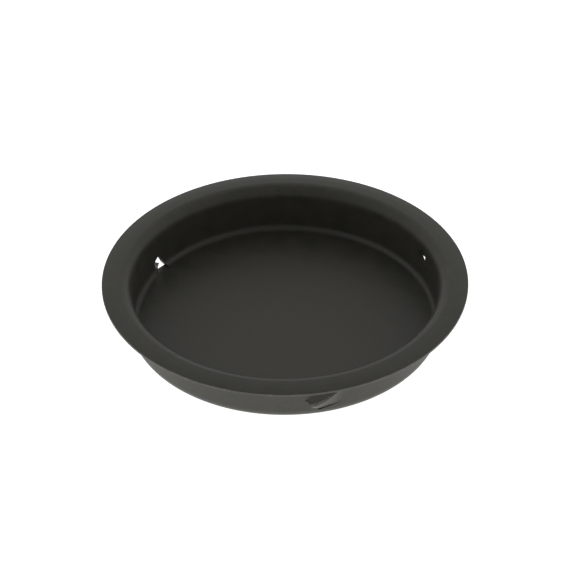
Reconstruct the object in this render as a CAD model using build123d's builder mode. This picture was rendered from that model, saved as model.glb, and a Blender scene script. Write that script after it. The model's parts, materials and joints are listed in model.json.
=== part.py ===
"""Press-in flush cup: a round sheet-metal cup with a domed rim and three lanced spring barbs."""
import os
from math import asin, degrees, sqrt

from build123d import *

os.makedirs("parts", exist_ok=True)

# Cup, standing on its floor, with its axis on Z
sheet = 0.5              # thickness of the sheet it is pressed from
wall_radius = 23.1       # outside of the wall, which goes into the panel's hole
rim_width = 3.9          # how far the rim stands out past the wall
cup_height = 7.85        # base to the crown of the rim
roll_radius = 1.7        # visible bend from the rim's crown down into the cup
corner_radius = 1.4      # outside bend from the wall to the floor
dome_radius = 12.5       # curve of the rim from its crown to its outer edge
land_width = 0.45        # flat seat pressed under the rim's outer edge
edge_round = 0.12        # broken corners of the rim's outer edge

# Barbs: tongues lanced out of the wall, each bent outward about the line where it stays joined
barb_depth = 1.9         # bend line to sharp lip
barb_lift = 1.2          # how far the lip stands out of the wall
barb_slant = 1.2         # how much shorter the bend line is than the lip, at its low end
barb_inset = 0.5         # how far a barb's sheet may follow the corner inwards
barb_gap = 0.10          # clearance round a barb at rest, and past its lip as it swings
barb_tear = 0.35         # extra slot where the lip's point pulled back
slot_reach = 1.3         # how far a slot is cut to each side of the sheet's middle
low_barb = 0.45          # height of the lowest bend line above the floor's sheet
high_barb = 1.1          # depth of the highest bend line below the top of the wall

# Worked-out sizes
wall_inner = wall_radius - sheet
rim_radius = wall_radius + rim_width
floor_radius = wall_radius - corner_radius
wall_top = cup_height - roll_radius
crown_radius = wall_inner + roll_radius
dome_centre = cup_height - dome_radius
under_radius = dome_radius - sheet
rim_top = dome_centre + sqrt(dome_radius**2 - (rim_radius - crown_radius) ** 2)
land_radius = rim_radius - land_width
land_height = dome_centre + sqrt(under_radius**2 - (land_radius - crown_radius) ** 2)
dome_sweep = degrees(asin((rim_radius - crown_radius) / dome_radius))
under_sweep = degrees(asin((land_radius - crown_radius) / under_radius))
barb_angle = degrees(asin(barb_lift / barb_depth))
barb_reach = sheet / 2 + barb_inset
lip_gap = sqrt(barb_depth**2 + barb_reach**2) - barb_depth + barb_gap

# Each barb: azimuth of its bend line, height, tilt of the lip above level, and length of the lip
barbs = {
    "barb_front": (-73.3, 2.1, 14.0, 6.2),
    "barb_rear_right": (28.0, wall_top - high_barb, 100.0, 2.1),
    "barb_rear_left": (149.8, sheet + low_barb, 62.0, 2.5),
}


def barb_plane(azimuth, height, tilt):
    """Middle of the sheet at a bend line: x along the line, y towards the lip, z outward."""
    outward = Vector(1, 0, 0).rotate(Axis.Z, azimuth)
    level = Vector(0, 1, 0).rotate(Axis.Z, azimuth)
    along = level.rotate(Axis((0, 0, 0), outward), tilt)
    middle = outward * (wall_radius - sheet / 2) + Vector(0, 0, height)
    return Plane(origin=middle, x_dir=along, z_dir=outward)


def barb_outline(length, foot=0.0, side=0.0, lip=0.0, tear=0.0):
    """Draw a barb, or its slot with a clearance on each side, from its foot up to its lip."""
    low_end = -length / 2 - side
    high_end = length / 2 + side
    top = barb_depth + lip
    Polygon((low_end + barb_slant, -foot), (high_end, -foot), (high_end, top), (low_end - tear, top), align=None)


# The whole pressing, before its wall is lanced
with BuildPart() as pressing:
    with BuildSketch(Plane.XZ) as section:
        with BuildLine():
            Line((0, 0), (floor_radius, 0))
            CenterArc((floor_radius, corner_radius), corner_radius, -90, 90)
            Line((wall_radius, corner_radius), (wall_radius, wall_top))
            CenterArc((crown_radius, wall_top), roll_radius - sheet, 180, -90)
            CenterArc((crown_radius, dome_centre), under_radius, 90, -under_sweep)
            Line((land_radius, land_height), (rim_radius, land_height))
            Line((rim_radius, land_height), (rim_radius, rim_top))
            CenterArc((crown_radius, dome_centre), dome_radius, 90 - dome_sweep, dome_sweep)
            CenterArc((crown_radius, wall_top), roll_radius, 90, 90)
            Line((wall_inner, wall_top), (wall_inner, corner_radius))
            CenterArc((floor_radius, corner_radius), corner_radius - sheet, 0, -90)
            Line((floor_radius, sheet), (0, sheet))
            Line((0, sheet), (0, 0))
        make_face()
        fillet(section.vertices().group_by(Axis.X)[-1], edge_round)
    revolve(axis=Axis.Z)

# Cup: the pressing with one slot for each barb
with BuildPart() as cup_shell:
    add(pressing.part)
    for azimuth, height, tilt, length in barbs.values():
        with BuildSketch(barb_plane(azimuth, height, tilt).offset(-slot_reach)):
            barb_outline(length, sheet / 2 + barb_gap, barb_gap, lip_gap, barb_tear)
        extrude(amount=2 * slot_reach, mode=Mode.SUBTRACT)
cup_shell.part.label = "cup_shell"
export_step(cup_shell.part, "parts/cup_shell.step")

# Barbs: the sheet out of each slot, with a round root on its bend line, swung out to rest
for name, (azimuth, height, tilt, length) in barbs.items():
    plane = barb_plane(azimuth, height, tilt)
    root_start = plane.from_local_coords((barb_slant - length / 2, 0, 0))
    with BuildPart() as barb:
        add(pressing.part)
        with BuildSketch(plane.offset(-barb_reach)):
            barb_outline(length)
        extrude(amount=barb_reach + slot_reach, mode=Mode.INTERSECT)
        with BuildSketch(Plane(origin=root_start, z_dir=plane.x_dir)):
            Circle(sheet / 2)
        extrude(amount=length - barb_slant)
        Cylinder(wall_radius, 2 * cup_height, mode=Mode.INTERSECT)
    bent = barb.part.rotate(Axis(plane.origin, plane.x_dir), barb_angle)
    bent.label = name
    export_step(bent, f"parts/{name}.step")
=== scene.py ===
"""Looks for the press-in flush cup: satin dark bronze sheet, three lanced barbs, soft studio light."""
import json
from math import cos, pi, radians, sin, sqrt

import bmesh
import bpy
from mathutils import Matrix, Vector


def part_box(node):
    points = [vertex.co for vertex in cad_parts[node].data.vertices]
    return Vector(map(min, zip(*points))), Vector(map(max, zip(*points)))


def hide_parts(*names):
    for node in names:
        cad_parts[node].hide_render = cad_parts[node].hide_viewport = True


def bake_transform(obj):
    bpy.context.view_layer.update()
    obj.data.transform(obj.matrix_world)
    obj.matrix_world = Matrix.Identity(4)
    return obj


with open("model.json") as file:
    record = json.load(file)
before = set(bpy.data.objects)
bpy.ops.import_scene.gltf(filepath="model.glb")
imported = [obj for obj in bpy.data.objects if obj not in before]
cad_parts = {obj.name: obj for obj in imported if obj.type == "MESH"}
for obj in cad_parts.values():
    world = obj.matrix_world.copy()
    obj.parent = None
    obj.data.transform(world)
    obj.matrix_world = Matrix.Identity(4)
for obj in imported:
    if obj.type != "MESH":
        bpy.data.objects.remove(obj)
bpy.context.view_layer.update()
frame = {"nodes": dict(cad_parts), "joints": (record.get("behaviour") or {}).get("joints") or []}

MM = 0.001

# Sizes that the sheet's mesh work needs, in metres, the same as in the CAD model
SHEET = 0.5 * MM
WALL_RADIUS = 23.1 * MM
CORNER_RADIUS = 1.4 * MM
RIM_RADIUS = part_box("cup_shell")[1][0]
FLOOR_RADIUS = WALL_RADIUS - CORNER_RADIUS
WALL_INNER = WALL_RADIUS - SHEET
BARB_DEPTH = 1.9 * MM
BARB_SLANT = 1.2 * MM
BARB_GAP = 0.10 * MM
BARB_TEAR = 0.35 * MM
LIP_GAP = 0.24 * MM
BARB_LENGTHS = {"barb_front": 6.2 * MM, "barb_rear_right": 2.1 * MM, "barb_rear_left": 2.5 * MM}

# Brightness of the studio by degrees above the floor, towards the rear, either side and the front.
# These levels come from a least-squares fit made outside this script, and were rounded by hand.
STUDIO_LEVELS = {
    "rear": ((0, 0.66), (12, 0.93), (25, 0.55), (40, 0.58), (60, 0.52), (90, 0.05)),
    "sides": ((0, 0.40), (12, 0.62), (25, 0.60), (40, 0.57), (60, 0.42), (90, 0.05)),
    "front": ((0, 0.36), (12, 0.44), (25, 0.20), (40, 0.10), (60, 0.26), (90, 0.05)),
}

# Colours of the finish and of the cut metal; the cut metal's colours are lightened as a painted highlight
DARK_BRONZE = (0.0400, 0.0395, 0.0290, 1)
LIGHT_BRONZE = (0.0545, 0.0520, 0.0375, 1)
WARM_BRONZE = (0.0625, 0.0515, 0.0310, 1)
PALE_GRAIN = (0.070, 0.068, 0.056, 1)
WORN_EDGE = (0.17, 0.155, 0.125, 1)
# The two shear colours are much lighter than the finish: partly thin finish over bare metal, partly a
# painted highlight of the cut edges catching the light
DIM_SHEAR_AND_GLINT = (0.10, 0.097, 0.085, 1)
BRIGHT_SHEAR_AND_GLINT = (0.30, 0.29, 0.27, 1)


# ---------------------------------------------------------------- materials

def node_adder(tree):
    """A helper that adds a node to a tree, with its settings and its inputs, linked or set."""

    def add(kind, inputs=None, **settings):
        node = tree.nodes.new("ShaderNode" + kind)
        for key, value in settings.items():
            setattr(node, key, value)
        for key, value in (inputs or {}).items():
            if isinstance(value, bpy.types.NodeSocket):
                tree.links.new(value, node.inputs[key])
            else:
                node.inputs[key].default_value = value
        return node

    return add


def nodes_of(name):
    """A new material with an empty tree, its Principled shader and a helper that adds linked nodes."""
    material = bpy.data.materials.new(name)
    material.use_nodes = True
    tree = material.node_tree
    tree.nodes.clear()
    output = tree.nodes.new("ShaderNodeOutputMaterial")
    shader = tree.nodes.new("ShaderNodeBsdfPrincipled")
    tree.links.new(shader.outputs["BSDF"], output.inputs["Surface"])
    return material, tree, shader, node_adder(tree)


def maths(add, operation, a, b=0.0, clamp=False):
    """One Math node's result."""
    return add("Math", {0: a, 1: b}, operation=operation, use_clamp=clamp).outputs[0]


def ramp(add, value, low, high, out_low=0.0, out_high=1.0):
    """A smooth step of a value from low to high."""
    settings = {"Value": value, "From Min": low, "From Max": high, "To Min": out_low, "To Max": out_high}
    return add("MapRange", settings, interpolation_type="SMOOTHSTEP", clamp=True).outputs["Result"]


def mix_colour(add, factor, a, b, blend="MIX"):
    """One colour Mix node's result."""
    node = add("Mix", data_type="RGBA", blend_type=blend, clamp_factor=True)
    links = node.id_data.links
    for socket, value in ((node.inputs[0], factor), (node.inputs[6], a), (node.inputs[7], b)):
        if isinstance(value, bpy.types.NodeSocket):
            links.new(value, socket)
        else:
            socket.default_value = value
    return node.outputs[2]


def noise(add, position, scale, detail, roughness):
    """One Noise Texture node's strength."""
    inputs = {"Vector": position, "Scale": scale, "Detail": detail, "Roughness": roughness}
    return add("TexNoise", inputs).outputs["Fac"]


def dark_bronze(name, bare_and_glinting=False):
    """Satin dark bronze finish on pressed sheet, thin and scuffed where the sheet is cut, and there
    lightened by a painted highlight of the cut edges catching the light.
    """
    material, tree, shader, add = nodes_of(name)
    position = add("TexCoord").outputs["Object"]
    parts = add("SeparateXYZ", {0: position})
    x, y, z = parts.outputs
    squares = maths(add, "ADD", maths(add, "MULTIPLY", x, x), maths(add, "MULTIPLY", y, y))
    radius = maths(add, "SQRT", squares)

    # Colour: brown-black, warmer in the middle of the floor, mottled at two scales
    mottle = noise(add, position, 420.0, 4.0, 0.6)
    grain = noise(add, position, 2600.0, 3.0, 0.7)
    base = mix_colour(add, ramp(add, mottle, 0.30, 0.72), DARK_BRONZE, LIGHT_BRONZE)
    warm = ramp(add, radius, 20.0 * MM, 2.0 * MM)
    base = mix_colour(add, maths(add, "MULTIPLY", warm, 0.45), base, WARM_BRONZE)
    speck = ramp(add, grain, 0.45, 0.75)
    base = mix_colour(add, maths(add, "MULTIPLY", speck, 0.35), base, PALE_GRAIN)

    # Wear: the finish is a little thin in patches on the rim's outer corner
    rim_edge = ramp(add, radius, RIM_RADIUS - 0.16 * MM, RIM_RADIUS + 0.02 * MM)
    scuff = noise(add, position, 700.0, 5.0, 0.65)
    wear = maths(add, "MULTIPLY", rim_edge, ramp(add, scuff, 0.42, 0.66))
    base = mix_colour(add, maths(add, "MULTIPLY", wear, 0.25), base, WORN_EDGE)

    # Cut edges: the finish is thin over drawn metal, and the colour is lightened as a painted highlight of
    # the edges catching the light
    if bare_and_glinting:
        drawn = add("Mapping", {"Vector": position, "Scale": (1.0, 1.0, 0.25)}).outputs[0]
        shear = add("TexNoise", {"Vector": drawn, "Scale": 5200.0, "Detail": 3.0}).outputs["Fac"]
        base = mix_colour(add, ramp(add, shear, 0.25, 0.65), DIM_SHEAR_AND_GLINT, BRIGHT_SHEAR_AND_GLINT)

    tree.links.new(base, shader.inputs["Base Color"])
    rough = ramp(add, mottle, 0.2, 0.8, 0.36, 0.46)
    rough = maths(add, "ADD", rough, maths(add, "MULTIPLY", grain, 0.06))
    tree.links.new(rough, shader.inputs["Roughness"])
    shader.inputs["Specular IOR Level"].default_value = 0.5

    # Bump: fine paint grain over a faint pressed texture
    fine = add("Bump", {"Height": grain, "Strength": 0.20, "Distance": 0.03 * MM}).outputs["Normal"]
    broad = add("Bump", {"Height": mottle, "Strength": 0.15, "Distance": 0.05 * MM, "Normal": fine})
    tree.links.new(broad.outputs["Normal"], shader.inputs["Normal"])
    return material


# ---------------------------------------------------------------- barbs

def surface_radius(z, outside):
    """Radius of the sheet's outer or inner surface at a height, down round the bottom corner."""
    full = WALL_RADIUS if outside else WALL_INNER
    if z >= CORNER_RADIUS:
        return full
    bend = CORNER_RADIUS if outside else CORNER_RADIUS - SHEET
    drop = min(CORNER_RADIUS - z, bend)
    return FLOOR_RADIUS + sqrt(max(bend * bend - drop * drop, 0.0))


def smooth(t):
    t = min(max(t, 0.0), 1.0)
    return t * t * (3 - 2 * t)


def in_band(t, low, high):
    return smooth((t - low) / (high - low))


class Barb:
    """One barb's place: x along its bend line, y towards its lip, z out of the wall."""

    def __init__(self, name):
        self.name = name
        self.length = BARB_LENGTHS[name]
        joint = next(j for j in frame["joints"] if j["child"] == name)
        self.angle = radians(joint["range_deg"][1])
        self.origin = Vector(joint["pos_m"])
        self.along = -Vector(joint["axis"]).normalized()
        self.outward = Vector((self.origin.x, self.origin.y, 0)).normalized()
        self.toward = self.outward.cross(self.along)
        self.level = Vector((0, 0, 1)).cross(self.outward)
        # The sheet bends from nothing past its high end and its root to its full angle at the low point
        self.start = (self.length / 2 - 0.2 * MM, 0.10 * MM)
        self.end = (-self.length / 2 + 0.5 * BARB_SLANT, BARB_DEPTH * 0.80)

    def place(self, u, v, w):
        return self.origin + u * self.along + v * self.toward + w * self.outward

    def height(self, u, v, outside, proud):
        """How far the flush sheet's surface lies out of the bend line's plane."""
        spot = self.place(u, v, 0)
        radius = surface_radius(spot.z, outside) + (proud if outside else -proud)
        side = spot.dot(self.level)
        return sqrt(radius * radius - side * side) - self.origin.dot(self.outward)

    def share(self, u, v):
        """The blend's share of the barb's angle at a place in the bend line's plane."""
        run = (self.end[0] - self.start[0], self.end[1] - self.start[1])
        span = run[0] ** 2 + run[1] ** 2
        return smooth(((u - self.start[0]) * run[0] + (v - self.start[1]) * run[1]) / span)

    def bent(self, u, v, w):
        """Where a point of the flush sheet stands at rest, so that the blend brings it back flush."""
        low, high = 0.0, self.angle
        for _ in range(40):
            turn = (low + high) / 2
            if turn < self.angle * self.share(u, v * cos(turn) - w * sin(turn)):
                low = turn
            else:
                high = turn
        return self.place(u, v * cos(turn) - w * sin(turn), v * sin(turn) + w * cos(turn))


def barb_skin(name, sheet_finish, cut_edge_glint_finish):
    """The lanced sheet of one barb, joined to the wall along its root and high end, free at its lip."""
    barb = Barb(name)
    half = barb.length / 2
    foot = -SHEET / 2 - BARB_GAP
    top = BARB_DEPTH + LIP_GAP
    cover = 0.40 * MM
    root = foot - cover
    high = half + BARB_GAP + cover
    across, up = 44, 22
    proud_over = 0.012 * MM
    lip_clearance = 0.01 * MM
    edge_bevel = 0.035 * MM
    sharp_angle = radians(50)

    def spot(i, j):
        v_share = j / up
        t = i / across
        lip = BARB_DEPTH + (LIP_GAP - lip_clearance) * in_band(t, 0.35, 0.85)
        v = root + (lip - root) * v_share
        rise = min(max((v - foot) / (top - foot), 0.0), 1.0)
        low = -half + BARB_SLANT - (BARB_SLANT + BARB_TEAR) * rise
        u = low + (high - low) * t
        edge = min((v - root) / cover, (high - u) / cover, 1.0)
        return u, v, proud_over * (2 * max(edge, 0.0) - 1)

    def vertex(i, j, outside):
        u, v, proud = spot(i, j)
        return barb.bent(u, v, barb.height(u, v, outside, proud))

    mesh = bpy.data.meshes.new(name + "_skin")
    build = bmesh.new()
    outer = [[build.verts.new(vertex(i, j, True)) for j in range(up + 1)] for i in range(across + 1)]
    inner = [[build.verts.new(vertex(i, j, False)) for j in range(up + 1)] for i in range(across + 1)]
    for i in range(across):
        for j in range(up):
            build.faces.new((outer[i][j], outer[i + 1][j], outer[i + 1][j + 1], outer[i][j + 1]))
            build.faces.new((inner[i][j], inner[i][j + 1], inner[i + 1][j + 1], inner[i + 1][j]))
    rim = [(i, 0) for i in range(across)] + [(across, j) for j in range(up)]
    rim += [(i, up) for i in range(across, 0, -1)] + [(0, j) for j in range(up, 0, -1)]
    for (i, j), (k, l) in zip(rim, rim[1:] + rim[:1]):
        face = build.faces.new((outer[i][j], inner[i][j], inner[k][l], outer[k][l]))
        # The lip's and the low end's cut faces take the shear colours, lightened by their painted
        # highlight
        if j == l == up or i == k == 0:
            face.material_index = 1
    bmesh.ops.recalc_face_normals(build, faces=build.faces)
    corners = [e for e in build.edges if len({f.material_index for f in e.link_faces}) == 2]
    bevel = {"offset": edge_bevel, "segments": 2, "profile": 0.6, "affect": "EDGES", "material": 0}
    bmesh.ops.bevel(build, geom=corners, **bevel)
    for face in build.faces:
        face.smooth = True
    build.to_mesh(mesh)
    build.free()
    mesh.materials.append(sheet_finish)
    mesh.materials.append(cut_edge_glint_finish)
    mesh.set_sharp_from_angle(angle=sharp_angle)
    skin = bpy.data.objects.new(name + "_skin", mesh)
    bpy.context.collection.objects.link(skin)
    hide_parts(name)
    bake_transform(skin)
    return skin


finish = dark_bronze("cup_finish")
# The cut edges' material is lightened by a painted highlight
edge_glint_finish = dark_bronze("sheared_edge_glint", bare_and_glinting=True)
cup = frame["nodes"]["cup_shell"]
cup.data.materials.clear()
cup.data.materials.append(finish)
for name in BARB_LENGTHS:
    barb_skin(name, finish, edge_glint_finish)


# ---------------------------------------------------------------- floor, light and camera

def pale_floor():
    mesh = bpy.data.meshes.new("studio_floor")
    size = 3.0
    drop = -0.02 * MM
    corners = [(-size, -size, drop), (size, -size, drop), (size, size, drop), (-size, size, drop)]
    mesh.from_pydata(corners, [], [(0, 1, 2, 3)])
    floor = bpy.data.objects.new("studio_floor", mesh)
    bpy.context.collection.objects.link(floor)
    material, tree, shader, add = nodes_of("pale_floor")
    shader.inputs["Base Color"].default_value = (0.80, 0.80, 0.80, 1)
    shader.inputs["Roughness"].default_value = 0.8
    shader.inputs["Emission Color"].default_value = (1, 1, 1, 1)
    shader.inputs["Emission Strength"].default_value = 1.0
    mesh.materials.append(material)


def studio():
    """Soft light from all round, brightest low down behind the object."""
    world = bpy.data.worlds.new("studio")
    bpy.context.scene.world = world
    world.use_nodes = True
    tree = world.node_tree
    tree.nodes.clear()
    output = tree.nodes.new("ShaderNodeOutputWorld")
    background = tree.nodes.new("ShaderNodeBackground")
    tree.links.new(background.outputs[0], output.inputs[0])
    add = node_adder(tree)
    direction = add("SeparateXYZ", {0: add("TexCoord").outputs["Generated"]}).outputs
    elevation = maths(add, "DIVIDE", maths(add, "ARCSINE", direction[2]), pi / 2)
    azimuth = maths(add, "ARCTAN2", maths(add, "ABSOLUTE", direction[0]), direction[1])
    quarter = maths(add, "DIVIDE", azimuth, pi / 2)
    levels = {}
    for side, stops in STUDIO_LEVELS.items():
        sky = add("ValToRGB", {0: elevation})
        while len(sky.color_ramp.elements) < len(stops):
            sky.color_ramp.elements.new(0.5)
        for element, (degrees_up, level) in zip(sky.color_ramp.elements, stops):
            element.position = degrees_up / 90
            element.color = (level, level, level, 1)
        levels[side] = sky.outputs[0]
    rear_half = mix_colour(add, quarter, levels["rear"], levels["sides"])
    past_side = maths(add, "SUBTRACT", quarter, 1.0, clamp=True)
    light = mix_colour(add, past_side, rear_half, levels["front"])
    tree.links.new(light, background.inputs[0])
    background.inputs[1].default_value = 1.0
    bpy.context.scene.view_settings.view_transform = "Standard"


def camera():
    elevation = radians(37.1)
    roll = radians(-0.34)
    distance = 0.7
    frame_width = 84.82 * MM
    # The aim is a point on the axis near the rim's height, less the picture's offset to the right and down
    aim = Vector((0.44 * MM, 0, 7.35 * MM)) - 0.90 * MM * Vector((0, sin(elevation), cos(elevation)))
    data = bpy.data.cameras.new("view")
    data.sensor_width = 36.0
    data.lens = data.sensor_width * distance / frame_width
    data.clip_start = 0.01
    holder = bpy.data.objects.new("view", data)
    place = aim + distance * Vector((0, -cos(elevation), sin(elevation)))
    tilt = Matrix.Rotation(pi / 2 - elevation, 4, "X")
    holder.matrix_world = Matrix.Translation(place) @ tilt @ Matrix.Rotation(roll, 4, "Z")
    bpy.context.collection.objects.link(holder)
    bpy.context.scene.camera = holder


pale_floor()
studio()
camera()
